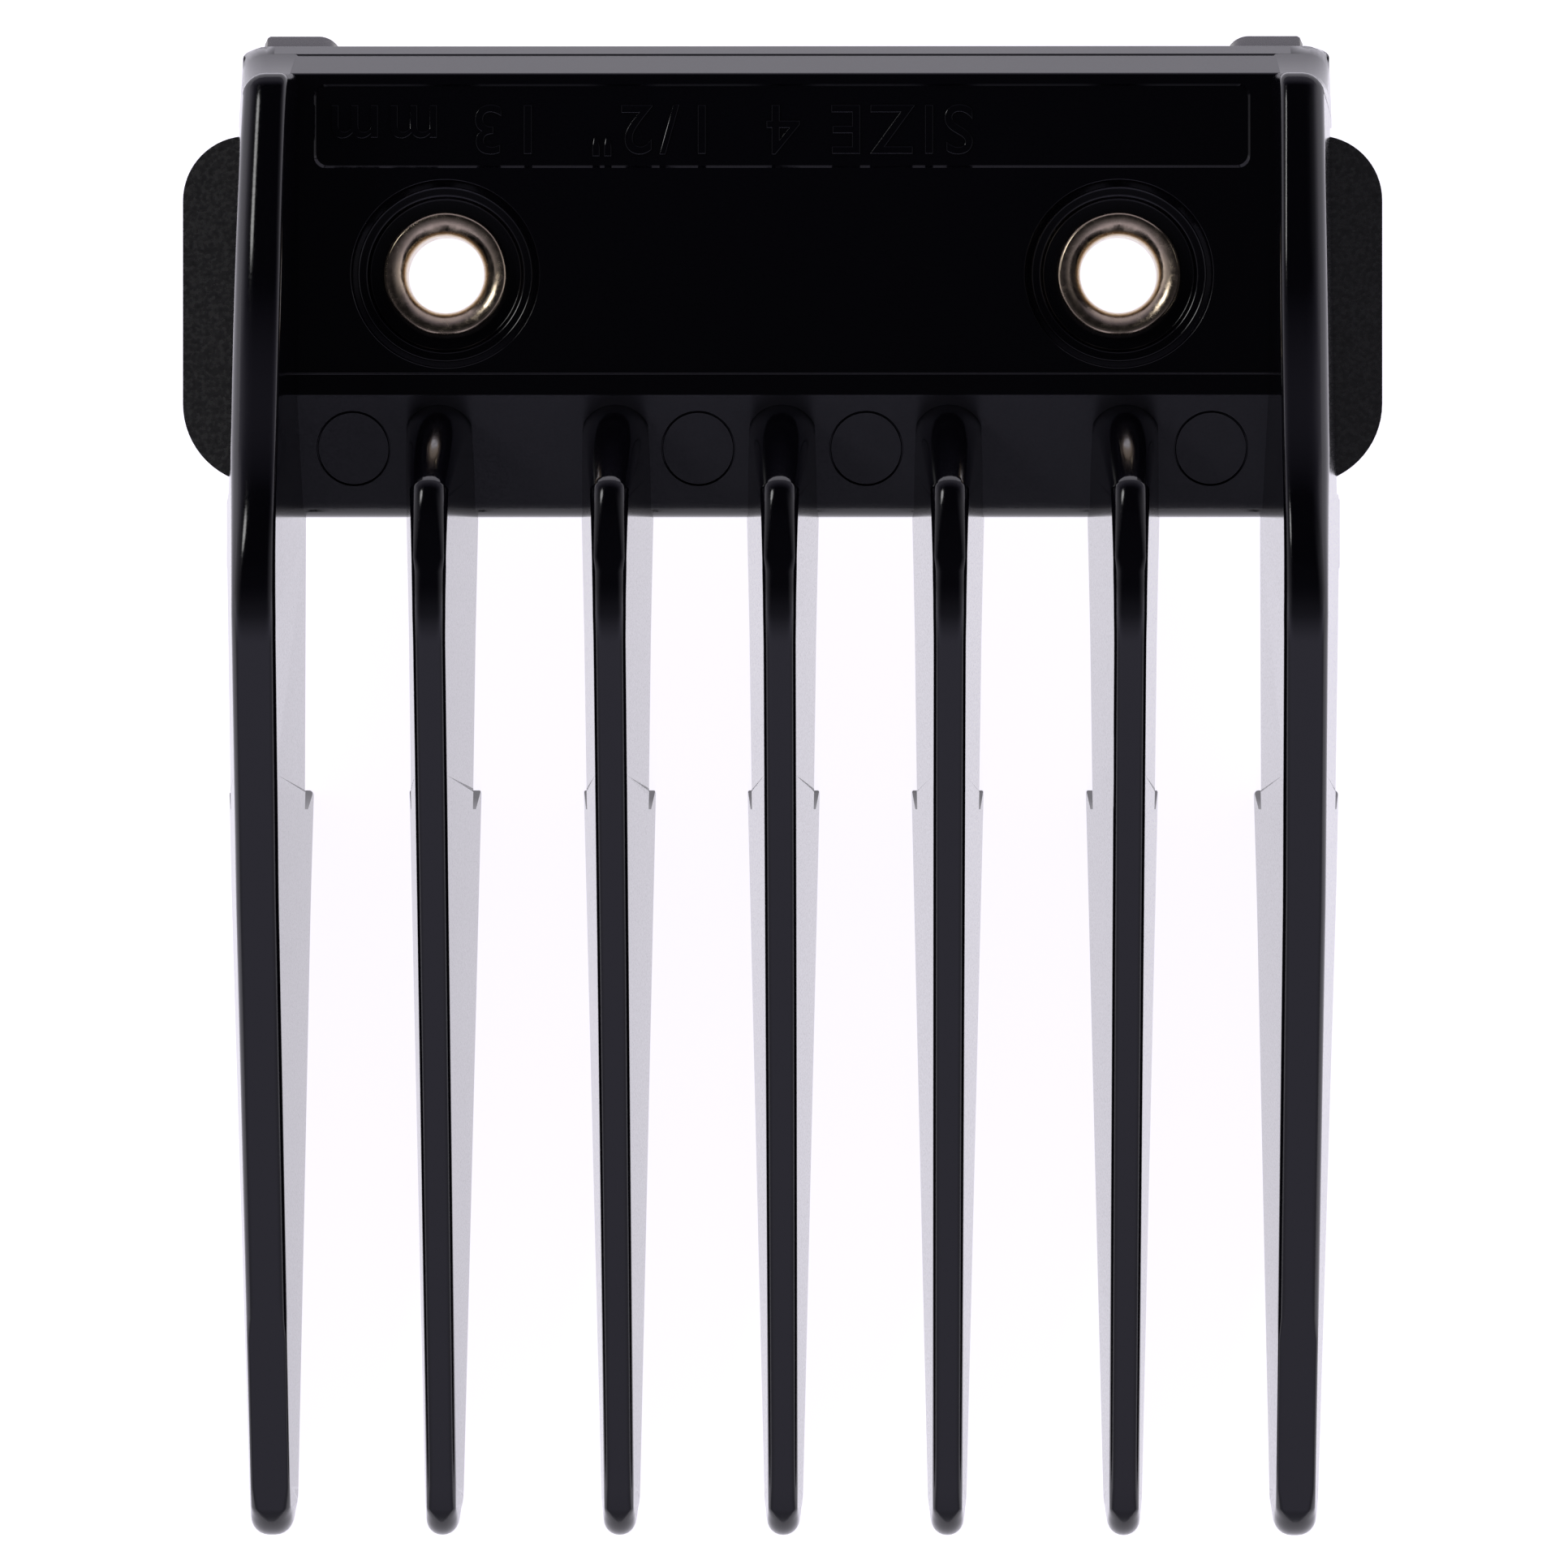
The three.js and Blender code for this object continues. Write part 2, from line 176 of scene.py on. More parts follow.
def line(start, end, steps):
    """Points from start up to, and without, end."""
    return [tuple(Vector(start).lerp(Vector(end), i / steps)) for i in range(steps)]


def rounded(corners, steps=5):
    """A closed outline from (a, b, radius) corners, each replaced by a true arc."""
    made = []
    count = len(corners)
    for i, (a, b, radius) in enumerate(corners):
        here = Vector((a, b))
        if radius == 0:
            made.append(tuple(here))
            continue
        to_last = (Vector(corners[i - 1][:2]) - here).normalized()
        to_next = (Vector(corners[(i + 1) % count][:2]) - here).normalized()
        half = to_last.angle(to_next) / 2
        middle = (to_last + to_next).normalized()
        centre = here + middle * (radius / math.sin(half))
        turn = math.pi / 2 - half
        if to_last.cross(to_next) > 0:
            turn = -turn
        for k in range(steps + 1):
            angle = turn * (1 - 2 * k / steps)
            out = Vector((-middle.x, -middle.y))
            out.rotate(Matrix.Rotation(-angle, 2))
            made.append(tuple(centre + out * radius))
    return made


def close_ring_stack(bm, rings):
    """Joins equal rings of vertices, in order, with quads."""
    for low, high in zip(rings, rings[1:]):
        for i in range(len(low)):
            j = (i + 1) % len(low)
            bm.faces.new((low[i], low[j], high[j], high[i]))


def mesh_object(name, bm):
    bmesh.ops.remove_doubles(bm, verts=bm.verts, dist=1e-5)
    bmesh.ops.recalc_face_normals(bm, faces=bm.faces)
    mesh = bpy.data.meshes.new(name)
    bm.to_mesh(mesh)
    bm.free()
    made = bpy.data.objects.new(name, mesh)
    bpy.context.scene.collection.objects.link(made)
    return made


def evaluated(obj):
    """Applies obj's modifiers to its mesh."""
    graph = bpy.context.evaluated_depsgraph_get()
    mesh = bpy.data.meshes.new_from_object(obj.evaluated_get(graph))
    old = obj.data
    obj.modifiers.clear()
    obj.data = mesh
    bpy.data.meshes.remove(old)
    return obj


def combine(body, others, operation):
    """Joins the other closed solids to body, or cuts them out of it."""
    for other in others:
        cut = body.modifiers.new("cut", "BOOLEAN")
        cut.operation = operation
        cut.solver = "MANIFOLD"
        cut.object = other
        evaluated(body)
        bpy.data.objects.remove(other)
    return body


def loft(name, sections):
    """A closed solid through equal closed sections of 3D points."""
    bm = bmesh.new()
    rings = [[bm.verts.new(p) for p in section] for section in sections]
    close_ring_stack(bm, rings)
    bm.faces.new(rings[0][::-1])
    bm.faces.new(rings[-1])
    return mesh_object(name, bm)


def profile_along_x(name, outline, x0, x1):
    return loft(name, [[(x, y, z) for y, z in outline] for x in (x0, x1)])


def plan_along_z(name, outline, z0, z1):
    return loft(name, [[(x, y, z) for x, y in outline] for z in (z0, z1)])


def block(name, low, high):
    x0, y0, z0 = low
    x1, y1, z1 = high
    return plan_along_z(name, [(x0, y0), (x1, y0), (x1, y1), (x0, y1)], z0, z1)


def turned(name, profile, centre, segments=96, closed=False, wobble=None):
    """Turns (radius, height) points about a vertical axis at centre."""
    bm = bmesh.new()
    rings = []
    for i in range(segments):
        angle = 2 * math.pi * i / segments
        ring = []
        for radius, height in profile:
            r, h = wobble(radius, height, angle) if wobble else (radius, height)
            x = centre[0] + r * math.cos(angle)
            y = centre[1] + r * math.sin(angle)
            ring.append(bm.verts.new((x, y, h)))
        rings.append(ring)
    last = len(profile) if closed else len(profile) - 1
    for i in range(segments):
        a, b = rings[i], rings[(i + 1) % segments]
        for k in range(last):
            n = (k + 1) % len(profile)
            bm.faces.new((a[k], b[k], b[n], a[n]))
    bmesh.ops.dissolve_degenerate(bm, edges=bm.edges, dist=1e-5)
    return mesh_object(name, bm)


def new_piece(obj, material, sharp_deg):
    """Scales a finished shape into the row frame and gives it its material and shading."""
    obj.data.transform(Matrix.Scale(MM, 4) @ Matrix.Translation((0, 0, LIFT)))
    obj.data.materials.clear()
    obj.data.materials.append(material)
    obj.data.shade_smooth()
    obj.data.set_sharp_from_angle(angle=math.radians(sharp_deg))
    weights = obj.modifiers.new("flat faces stay flat", "WEIGHTED_NORMAL")
    weights.keep_sharp = True
    weights.weight = 100
    evaluated(obj)
    return obj


# ---- Teeth ----
def ridge_line(y):
    return CUT_LENGTH + RIDGE_RISE * (y - NOTCH_Y)


def flank_top(y):
    """Height that a fin's flanks are measured down from."""
    return min(ridge_line(y), BELLY_Z)


def rail_top(y):
    """Height that a wall's flanks are measured down from."""
    return flank_top(y) - RAIL_FALL * max(0, y - 14)


def share(y, start, end):
    """How far y is along the way from start to end, between 0 and 1."""
    return min(max((y - start) / (end - start), 0), 1)


def front_outline():
    """Upper chain from the belly to the tip, and lower chain from the tip to the toe."""
    ease_y = 2 * BELLY_Y - BELLY_START
    belly = bezier([(BELLY_START, BELLY_Z), (BELLY_Y, BELLY_Z), (ease_y, ridge_line(ease_y))], 16)
    lean = math.atan(RIDGE_RISE)
    height = ridge_line(TIP_Y) - FOOT_Z
    radius = height * math.cos(lean) / (1 + (1 - RIDGE_RISE) * math.cos(lean))
    centre = (TIP_Y + radius, FOOT_Z + radius)
    over = arc(*centre, radius, 90 + math.degrees(lean), 180, 12)
    under = arc(*centre, radius, 180, 270, 12)[1:]
    ridge = line(belly[-1], over[0], 40)[1:]
    foot = line(under[-1], (TOE_Y - 0.25, FOOT_Z), 24)[1:]
    toe = bezier([(TOE_Y - 0.25, FOOT_Z), (TOE_Y, FOOT_Z), (TOE_Y, FOOT_Z + 0.25)], 4)
    upper = belly + ridge + over
    lower = under + foot + toe + [(TOE_Y, 0)]
    return upper, lower


def fin_outline():
    nose = bezier(NOSE, 24) + bezier(NOSE_CORNER, 20)[1:]
    back = line(NOSE_CORNER[-1], (BELLY_START, BELLY_Z), 5)[1:]
    upper, lower = front_outline()
    front, rear = FIN_ROOT_Y
    bottom = line((front, 0), (rear, 0), 4) + [(rear, 0)]
    return [NOSE_ROOT] + nose + back + upper, lower + bottom


def wall_outline():
    *skirt, top = REAR_FACE
    rear = skirt + line(top, REAR_CORNER[0], 6)
    corner = bezier(REAR_CORNER, 8)
    rail = line(corner[-1], RAIL_RISE[0], 10)[1:]
    rise = bezier(RAIL_RISE, 30)
    upper, lower = front_outline()
    return rear + corner + rail + rise + upper, lower + [(y, 0) for y in WALL_FOOT_Y]


def outline_normals(outline):
    """Unit normals pointing out of an anticlockwise outline."""
    made = []
    for i in range(len(outline)):
        along = Vector(outline[(i + 1) % len(outline)]) - Vector(outline[i - 1])
        along.normalize()
        made.append(Vector((along.y, -along.x)))
    return made


def ladder(bm, upper, lower):
    """Fills the flank between the upper chain and the lower chain, both from the rear."""
    i = j = 0
    while i + 1 < len(upper) or j + 1 < len(lower):
        next_up = upper[i + 1].co.y if i + 1 < len(upper) else -1e9
        next_low = lower[j + 1].co.y if j + 1 < len(lower) else -1e9
        if next_up >= next_low:
            corners = (upper[i], upper[i + 1], lower[j])
            i += 1
        else:
            corners = (upper[i], lower[j + 1], lower[j])
            j += 1
        if len(set(corners)) == 3:
            bm.faces.new(corners)


def tooth(name, chains, flanks, rounds):
    """A tooth with drafted flanks and rounded edges along its side outline.

    flanks are the left and right surfaces as functions of (y, z), and rounds the edge
    radius on each of them.
    """
    upper, lower = chains
    outline = upper + lower
    normals = outline_normals(outline)
    bm = bmesh.new()
    steps = 6
    rings = []
    for side, flank, radius_at in ((-1, flanks[0], rounds[0]), (1, flanks[1], rounds[1])):
        turn = [math.pi / 2 * k / steps for k in range(steps + 1)]
        for angle in turn[::-1] if side < 0 else turn:
            ring = []
            for (y, z), normal in zip(outline, normals):
                radius = radius_at(y, z)
                inset = radius * (1 - math.cos(angle))
                py = y - normal.x * inset
                pz = z - normal.y * inset
                x = flank(py, pz) - side * radius * (1 - math.sin(angle))
                ring.append(bm.verts.new((x, py, pz)))
            rings.append(ring)
    close_ring_stack(bm, rings)
    for ring in (rings[0], rings[-1]):
        top = ring[: len(upper)]
        under = [ring[len(upper) - 1]] + ring[len(upper) :]
        ladder(bm, top, under[::-1])
    return mesh_object(name, bm)


def fin(x, lean):
    def middle(y):
        return x + lean * share(y, BELLY_START, TIP_Y)

    def reach(y, z):
        ridge = mix(FIN_RIDGE, FIN_RIDGE_TIP, share(y, BELLY_START, TIP_Y)) / 2
        swell = FIN_SWELL * share(y, 5.8, 13.3) ** 1.5
        return ridge + swell + mix(*FIN_DRAFT, share(y, 1, 5.8)) * (flank_top(y) - z)

    def radius_at(y, z):
        on_nose = smooth_step(RIDGE_FLAT_FROM, NOSE_ROUND_FROM, y) if z > 0.1 else 0
        on_tip = smooth_step(TIP_ROUND_FROM, TIP_Y + 0.5, y)
        small = RIDGE_ROUND if z > max(0, ridge_line(y) - 1) else FOOT_ROUND
        return mix(small, 0.97 * reach(y, z), max(on_nose, on_tip))

    flanks = (lambda y, z: middle(y) - reach(y, z), lambda y, z: middle(y) + reach(y, z))
    return tooth("fin", fin_outline(), flanks, (radius_at, radius_at))


def wall(side):
    def splay(y):
        bend = WALL_BEND[0 if side < 0 else 1] * max(0, y - 17) ** 2
        return WALL_SPLAY * share(y, 7, -5) - bend

    def inner(y, z):
        taper = WALL_TAPER_TIP[0] * share(y, BELLY_START, TIP_Y)
        draft = mix(*WALL_DRAFT_IN, share(y, 1, 5.8))
        return WALL_INNER + splay(y) + taper - draft * (rail_top(y) - z)

    def outer(y, z):
        taper = WALL_TAPER_TIP[1] * share(y, BELLY_START, TIP_Y)
        return WALL_OUTER + splay(y) - taper + WALL_DRAFT_OUT * (rail_top(y) - z)

    def radius_at(ridge_round, rail_round, rear_round):
        def radius(y, z):
            on_tip = smooth_step(TIP_ROUND_FROM, TIP_Y + 0.5, y)
            on_rail = smooth_step(7, 13, y)
            on_rear = smooth_step(29.6, 30.2, y) * share(z, 10, 8.5)
            along = mix(mix(ridge_round, rail_round, on_rail), rear_round, on_rear)
            small = along if z > 3 or y > 29 else min(along, 0.2)
            return mix(small, 0.78, on_tip)

        return radius

    inner_round, outer_round = radius_at(0.45, 0.35, 0.4), radius_at(0.45, 0.9, 1)
    if side < 0:
        flanks = (lambda y, z: -outer(y, z), lambda y, z: -inner(y, z))
        return tooth("wall", wall_outline(), flanks, (outer_round, inner_round))
    return tooth("wall", wall_outline(), (inner, outer), (inner_round, outer_round))


# ---- Comb body ----
def plate():
    low, edge, middle, top = REAR_FACE
    outline = rounded([
        (*low, 0.08),
        (*edge, 0.06),
        (middle[0] + 0.02, middle[1] - 0.04, 0.03),
        (middle[0] - 0.06, middle[1], 0.02),
        (*top, 0.16),
        (17.72, PANEL_Z, 0.03),
        (17.68, RIM_Z, 0.06),
        (16.75, RIM_Z, 0.15),
        (*RIM_FRONT, 1.4),
        (RIM_FRONT[0], 0, 0.05),
        (13.9, 0, 0.3),
        (16.5, UNDERSIDE_Z, 0.3),
        (28.8, UNDERSIDE_Z, 0),
        (28.8, 3.1, 0.1),
        (30.75, 3.1, 0.2),
        (30.75, low[1], 0.05),
    ])
    return profile_along_x("comb", outline, -PLATE_HALF, PLATE_HALF)


def rivet_seat(x):
    deep = 0.4
    profile = [(0, SPOT_Z)]
    profile += arc(3.2, SPOT_Z + 0.12, 0.12, -90, 0, 4)
    profile += arc(3.46, 3.9, 0.14, 180, 90, 4)
    profile += arc(3.68, 4.16, 0.12, -90, 0, 4)
    profile += arc(4.14, PANEL_Z - 0.09, 0.1, 170, 90, 4)
    profile += [(4.14, PANEL_Z + deep), (0, PANEL_Z + deep)]
    hole = [(0, 0), (RIVET_HOLE, 0), (RIVET_HOLE, PANEL_Z), (0, PANEL_Z)]
    centre = (x, EYELET_Y)
    return [turned("seat", profile, centre), turned("hole", hole, centre)]


def panel_recess():
    half, low, high, depth, radius = 20.2, 26.55, 30.2, 0.12, 0.5
    corners = [(-half, low), (half, low), (half, high), (-half, high)]
    outer = rounded([(*c, radius) for c in corners])
    left, right, front, rear = 0.1 - half, half - 0.1, low + 0.13, high - 0.1
    floor = [(left, front), (right, front), (right, rear), (left, rear)]
    inner = rounded([(*c, radius) for c in floor])
    sections = [
        [(x, y, PANEL_Z - depth) for x, y in inner],
        [(x, y, PANEL_Z + 0.02) for x, y in outer],
        [(x, y, PANEL_Z + 0.5) for x, y in outer],
    ]
    return loft("panel_recess", sections)


def rim_height(y):
    slope = (RIM_Z - RIM_FRONT[1]) / (16.75 - RIM_FRONT[0])
    return RIM_FRONT[1] + slope * (y - RIM_FRONT[0])


def rim_normal():
    across = Vector((0, 16.75 - RIM_FRONT[0], RIM_Z - RIM_FRONT[1])).normalized()
    return Vector((0, -across.z, across.y))


def ejector_mark(x):
    """The fine round groove and the shallow dip that an ejector pin leaves on the rim."""
    radius = EJECTOR_RADIUS
    dip, groove, width = 0.02, 0.16, 0.09
    rings = [(0, -dip), (radius - width, -dip), (radius - width * 0.6, -groove)]
    rings += [(radius - width * 0.3, -groove), (radius, 0.02), (radius, 0.5), (0, 0.5)]
    made = turned("ejector_mark", rings, (x, EJECTOR_Y))
    for vertex in made.data.vertices:
        vertex.co.z += rim_height(vertex.co.y)
    return made


def side_foot(side):
    """The low foot under each wall, just proud of its outer face."""
    outline = rounded([(22.7, -0.8, 0.1), (24.24, -0.8, 0.05), (23.35, 7.5, 0), (22.7, 7.5, 0)])
    section = [(side * x, z) for x, z in outline]
    return loft("foot", [[(x, y, z) for x, z in section] for y in FOOT_Y])


def size_mark(text, x):
    """Raised size lettering on the panel, read from the rear of the comb."""
    curve = bpy.data.curves.new("size_mark", "FONT")
    curve.body = text
    curve.size = MARK_HEIGHT * 1.4  # capitals fill about 1 / 1.4 of the size
    curve.align_x = "CENTER"
    curve.align_y = "CENTER"
    curve.extrude = 0.06
    curve.bevel_depth = 0.025
    curve.bevel_resolution = 1
    curve.space_character = 1.15
    letters = bpy.data.objects.new("size_mark", curve)
    bpy.context.scene.collection.objects.link(letters)
    graph = bpy.context.evaluated_depsgraph_get()
    mesh = bpy.data.meshes.new_from_object(letters.evaluated_get(graph))
    bpy.data.objects.remove(letters)
    made = bpy.data.objects.new("size_mark", mesh)
    bpy.context.scene.collection.objects.link(made)
    for vertex in mesh.vertices:
        a, b, c = vertex.co
        vertex.co = (x - a, MARK_Y - b, PANEL_Z - 0.1 + c)
    return made


def comb_body():
    body = plate()
    fins = [fin(x, lean) for x, lean in zip(FIN_X, FIN_LEAN)]
    combine(body, [wall(-1), wall(1), *fins, side_foot(-1), side_foot(1)], "UNION")
    fall = (-STOP_DEPTH - TOE_Z) / (TOE_Y - NOTCH_Y)
    toe = [(1, 0), (NOTCH_Y, 0), (NOTCH_Y, -STOP_DEPTH), (1, -STOP_DEPTH - fall * (1 - NOTCH_Y))]
    notches = []
    for side in (-1, 1):
        for inner, front, top in (
            (WING_ROOT - 0.3, 12.55, UNDERSIDE_Z + 0.25),
            (LIP_HALF - 0.1, 16.6, UNDERSIDE_Z),
        ):
            xs = sorted((side * inner, side * 30))
            notches.append(block("notch", (xs[0], front, -3), (xs[1], 28.5, top)))
    cuts = [profile_along_x("toe_notch", toe[::-1], -30, 30), *notches, panel_recess()]
    cuts += [piece for x in (-EYELET_X, EYELET_X) for piece in rivet_seat(x)]
    cuts += [ejector_mark(x) for x in EJECTOR_X]
    combine(body, cuts, "DIFFERENCE")
    return body


# ---- Spring clip ----
def clip_base():
    front, rear = WING_Y
    half = WING_HALF
    front_round, rear_round = WING_RADIUS
    right = [(WING_ROOT, 17, 0.3), (WING_ROOT, front, 0.3), (half, front, front_round)]
    right += [(half, rear, rear_round), (LIP_HALF, rear, 0.3), (LIP_HALF, 29, 0)]
    left = [(-x, y, r) for x, y, r in right[::-1]]
    outline = rounded(right + left, 16)
    made = plan_along_z("spring_clip", outline, CLIP_Z, CLIP_Z + SHEET)
    holes = []
    for x in (-EYELET_X, EYELET_X):
        hole = [(0, 0), (RIVET_HOLE, 0), (RIVET_HOLE, 4), (0, 4)]
        holes.append(turned("hole", hole, (x, EYELET_Y)))
    return combine(made, holes, "DIFFERENCE")


def sheet_section(middle, x):
    """A closed section of the sheet at x, around its middle line of (y, z) points."""
    above, below = [], []
    for i, (y, z) in enumerate(middle):
        along = Vector(middle[min(i + 1, len(middle) - 1)]) - Vector(middle[max(i - 1, 0)])
        along.normalize()
        offset = Vector((-along.y, along.x)) * (SHEET / 2)
        above.append((x, y + offset.x, z + offset.y))
        below.append((x, y - offset.x, z - offset.y))
    return above + below[::-1]


def lip_line():
    middle_z = CLIP_Z + SHEET / 2
    start = [(28.4, middle_z), (29.0, middle_z)]
    bend = arc(LIP_Y - 0.6, middle_z - 0.6, 0.6, 90, 0, 12)
    leg = line((LIP_Y, middle_z - 0.6), (LIP_Y, -1.2), 6)[1:]
    bulge = bezier([(LIP_Y, -1.2), (30.0, -2.0), (28.95, -2.45), (29.9, -3.05)], 20)
    return start + bend + leg + bulge


def lip_flare(end_y):
    """Middle line of the thumb edge: out past the skirt, then down to its end."""
    full = bezier([(29.9, -3.05), (30.7, -3.35), (31.2, -2.9), (32.0, -3.5), (32.6, -3.92)], 16)
    return [(mix(29.9, y, (end_y - 29.9) / 2.7), z) for y, z in full][1:]


def spring_clip():
    straight = lip_line()
    strip_line = straight + [(y, min(z, -3.05)) for y, z in lip_flare(31.4)]
    strip = [sheet_section(strip_line, x) for x in (-LIP_HALF, LIP_HALF)]
    ears = []
    for side in (-1, 1):
        sections = []
        stations = 28
        for i in range(stations + 1):
            t = i / stations
            inward = math.sqrt(1 - (1 - share(t, 0, 0.3)) ** 2)
            outward = math.sqrt(1 - share(t, 0.93, 1) ** 2 * 0.6)
            end_y = mix(31.6, 32.6, inward * outward)
            x = side * mix(*EAR_X, t)
            sections.append(sheet_section(straight[-6:] + lip_flare(end_y), x))
        ears.append(loft("ear", sections))
    return combine(clip_base(), [loft("strip", strip), *ears], "UNION")


# ---- Eyelets ----
def eyelet(name, x):
    roll = (EYELET_FLANGE - EYELET_BORE) / 2
    roll_at = EYELET_BORE + roll
    gap = 0.05
    edge = 0.18  # radius of the upper flange's outer edge
    edge_at = EYELET_FLANGE - edge
    mouth = 0.75  # depth of the funnel into the bore
    top, low = SPOT_Z + 0.62, CLIP_Z - 0.3
    profile = arc(roll_at, low, roll, 180, 360, 20)
    profile += [(EYELET_FLANGE - 0.04, CLIP_Z - gap), (2.0, CLIP_Z - gap)]
    profile += [(2.0, SPOT_Z + gap), (EYELET_FLANGE - 0.04, SPOT_Z + gap)]
    profile += arc(edge_at, top, edge, 0, 80, 10)
    for i in range(1, 17):
        turn = math.radians(90 * i / 16)
        inward = (edge_at - EYELET_BORE) * math.sin(turn)
        profile.append((edge_at - inward, top + edge - mouth * (1 - math.cos(turn))))
    profile += [(EYELET_BORE, mix(top + edge - mouth, low, i / 6)) for i in range(1, 6)]
    phase = x

    def wobble(radius, height, angle):
        crimp = 0.012 * math.sin(3 * angle + phase) + 0.008 * math.sin(7 * angle + 2 * phase)
        lift = 0.015 * math.sin(2 * angle + phase) - 0.02
        outer = smooth_step(roll_at, EYELET_FLANGE, radius)
        on_top = 1 if height > SPOT_Z + 0.1 else 0
        return radius + crimp * outer - 0.02 * outer, height + lift * on_top

    return turned(name, profile, (x, EYELET_Y), 128, closed=True, wobble=wobble)


# ---- Materials ----
def node_material(name):
    material = bpy.data.materials.new(name)
    material.use_nodes = True
    nodes = material.node_tree.nodes
    return material, nodes, material.node_tree.links, nodes["Principled BSDF"]


def object_noise(nodes, links, scale, detail, stretch=(1, 1, 1)):
    coordinates = nodes.new("ShaderNodeTexCoord")
    mapping = nodes.new("ShaderNodeMapping")
    mapping.inputs["Scale"].default_value = stretch
    noise = nodes.new("ShaderNodeTexNoise")
    noise.inputs["Scale"].default_value = scale
    noise.inputs["Detail"].default_value = detail
    links.new(coordinates.outputs["Object"], mapping.inputs["Vector"])
    links.new(mapping.outputs["Vector"], noise.inputs["Vector"])
    return noise


def map_range(nodes, links, source, low, high, to_low, to_high):
    made = nodes.new("ShaderNodeMapRange")
    made.inputs["From Min"].default_value = low
    made.inputs["From Max"].default_value = high
    made.inputs["To Min"].default_value = to_low
    made.inputs["To Max"].default_value = to_high
    links.new(source, made.inputs["Value"])
    return made


def bump(nodes, links, height, distance, strength, below=None):
    made = nodes.new("ShaderNodeBump")
    made.inputs["Distance"].default_value = distance
    made.inputs["Strength"].default_value = strength
    links.new(height, made.inputs["Height"])
    if below:
        links.new(below.outputs["Normal"], made.inputs["Normal"])
    return made


def rim_mask(nodes, links):
    """1 on the rim's sloping front face and 0 elsewhere, from the slope and the place."""
    coordinates = nodes.new("ShaderNodeTexCoord")
    split = nodes.new("ShaderNodeSeparateXYZ")
    links.new(coordinates.outputs["Object"], split.inputs["Vector"])
    slope = nodes.new("ShaderNodeVectorMath")
    slope.operation = "DOT_PRODUCT"
    slope.inputs[1].default_value = rim_normal()
    links.new(coordinates.outputs["Normal"], slope.inputs[0])
    facing = map_range(nodes, links, slope.outputs["Value"], 0.95, 0.985, 0, 1)
    top = (RIM_Z + LIFT + 0.02) * MM
    low = map_range(nodes, links, split.outputs["Z"], top, top + 0.00005, 1, 0)
    edge = (RIM_FRONT[0] - 0.29) * MM
    behind = map_range(nodes, links, split.outputs["Y"], edge, edge + 0.0001, 0, 1)
    both = nodes.new("ShaderNodeMath")
    both.operation = "MULTIPLY"
    links.new(facing.outputs["Result"], both.inputs[0])
    links.new(low.outputs["Result"], both.inputs[1])
    mask = nodes.new("ShaderNodeMath")
    mask.operation = "MULTIPLY"
    links.new(both.outputs["Value"], mask.inputs[0])
    links.new(behind.outputs["Result"], mask.inputs[1])
    return mask.outputs["Value"]


def nylon_material():
    material, nodes, links, shader = node_material("black_nylon")
    # Painted light: the rim's sloping face gets a lighter grey base colour (B) than the rest of
    # the black nylon (A), standing in for the light that face catches. Its rougher satin finish,
    # set below, is the nylon's own.
    base_with_painted_rim_light = nodes.new("ShaderNodeMix")
    base_with_painted_rim_light.data_type = "RGBA"
    base_with_painted_rim_light.inputs["A"].default_value = (0.0022, 0.002, 0.0035, 1)
    base_with_painted_rim_light.inputs["B"].default_value = (0.035, 0.034, 0.044, 1)
    rim = rim_mask(nodes, links)
    links.new(rim, base_with_painted_rim_light.inputs["Factor"])
    links.new(base_with_painted_rim_light.outputs["Result"], shader.inputs["Base Color"])
    shader.inputs["IOR"].default_value = 1.5
    grain = object_noise(nodes, links, 9000, 3)
    gloss = map_range(nodes, links, grain.outputs["Fac"], 0.35, 0.7, 0.08, 0.17)
    satin = map_range(nodes, links, grain.outputs["Fac"], 0.35, 0.7, 0.45, 0.6)
    finish = nodes.new("ShaderNodeMix")
    links.new(rim, finish.inputs["Factor"])
    links.new(gloss.outputs["Result"], finish.inputs["A"])
    links.new(satin.outputs["Result"], finish.inputs["B"])
    links.new(finish.outputs["Result"], shader.inputs["Roughness"])
    flow = object_noise(nodes, links, 500, 4, (1, 0.25, 1))
    waves = bump(nodes, links, flow.outputs["Fac"], 0.00002, 0.12)
    fine = bump(nodes, links, grain.outputs["Fac"], 0.000004, 0.2, waves)
    links.new(fine.outputs["Normal"], shader.inputs["Normal"])
    return material


def steel_material():
    material, nodes, links, shader = node_material("spring_steel")
    shader.inputs["Metallic"].default_value = 1
    shader.inputs["Base Color"].default_value = (0.27, 0.27, 0.25, 1)
    grain = object_noise(nodes, links, 5000, 5)
    gloss = map_range(nodes, links, grain.outputs["Fac"], 0.3, 0.7, 0.2, 0.32)
    links.new(gloss.outputs["Result"], shader.inputs["Roughness"])
    fine = bump(nodes, links, grain.outputs["Fac"], 0.00002, 0.14)
    links.new(fine.outputs["Normal"], shader.inputs["Normal"])
    return material


def nickel_material():
    material, nodes, links, shader = node_material("worn_nickel")
    shader.inputs["Metallic"].default_value = 1
    shader.inputs["Base Color"].default_value = (0.56, 0.46, 0.34, 1)
    grain = object_noise(nodes, links, 3000, 4)
    gloss = map_range(nodes, links, grain.outputs["Fac"], 0.3, 0.7, 0.14, 0.3)
    links.new(gloss.outputs["Result"], shader.inputs["Roughness"])
    fine = bump(nodes, links, grain.outputs["Fac"], 0.00003, 0.25)
    links.new(fine.outputs["Normal"], shader.inputs["Normal"])
    return material


